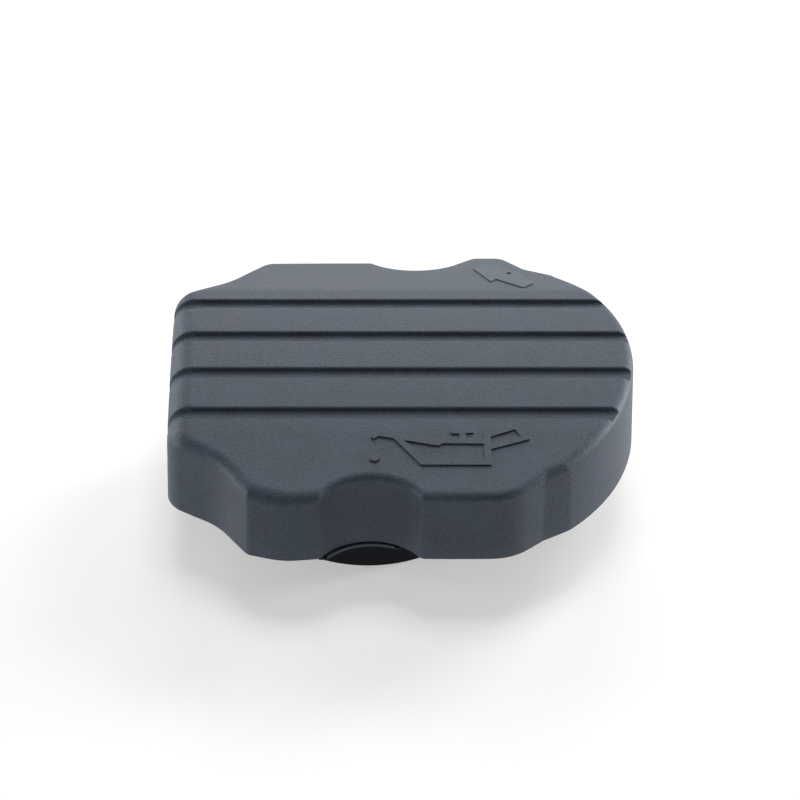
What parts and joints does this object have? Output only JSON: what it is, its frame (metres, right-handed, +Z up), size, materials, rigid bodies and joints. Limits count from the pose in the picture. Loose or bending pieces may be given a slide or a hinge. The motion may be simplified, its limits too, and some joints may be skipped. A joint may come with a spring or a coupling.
{
  "type": "engine oil filler cap",
  "caption": "Bayonet oil filler cap with a wavy slate-grey grip cover, grooved crown, black neck with lugs and a rubber seal.",
  "frame": {"origin": "on the axis of the neck, in the plane of the neck's lower end, which is what the cap stands on", "axes": "+Z up along the neck's axis towards the cover's crown, +X towards the round end of the grip, -Y towards the front with the oil can sign"},
  "size_m": [0.0786, 0.0711, 0.0296],
  "materials": {
    "cover_plastic": "slate grey moulded polyamide with a fine matt grain",
    "plug_plastic": "black moulded polyamide, semi-matt",
    "seal_rubber": "black nitrile rubber"
  },
  "bodies": {
    "root": {"grip_cover": "cover_plastic", "plug_body": "plug_plastic", "seal_ring": "seal_rubber"}
  },
  "joints": []
}
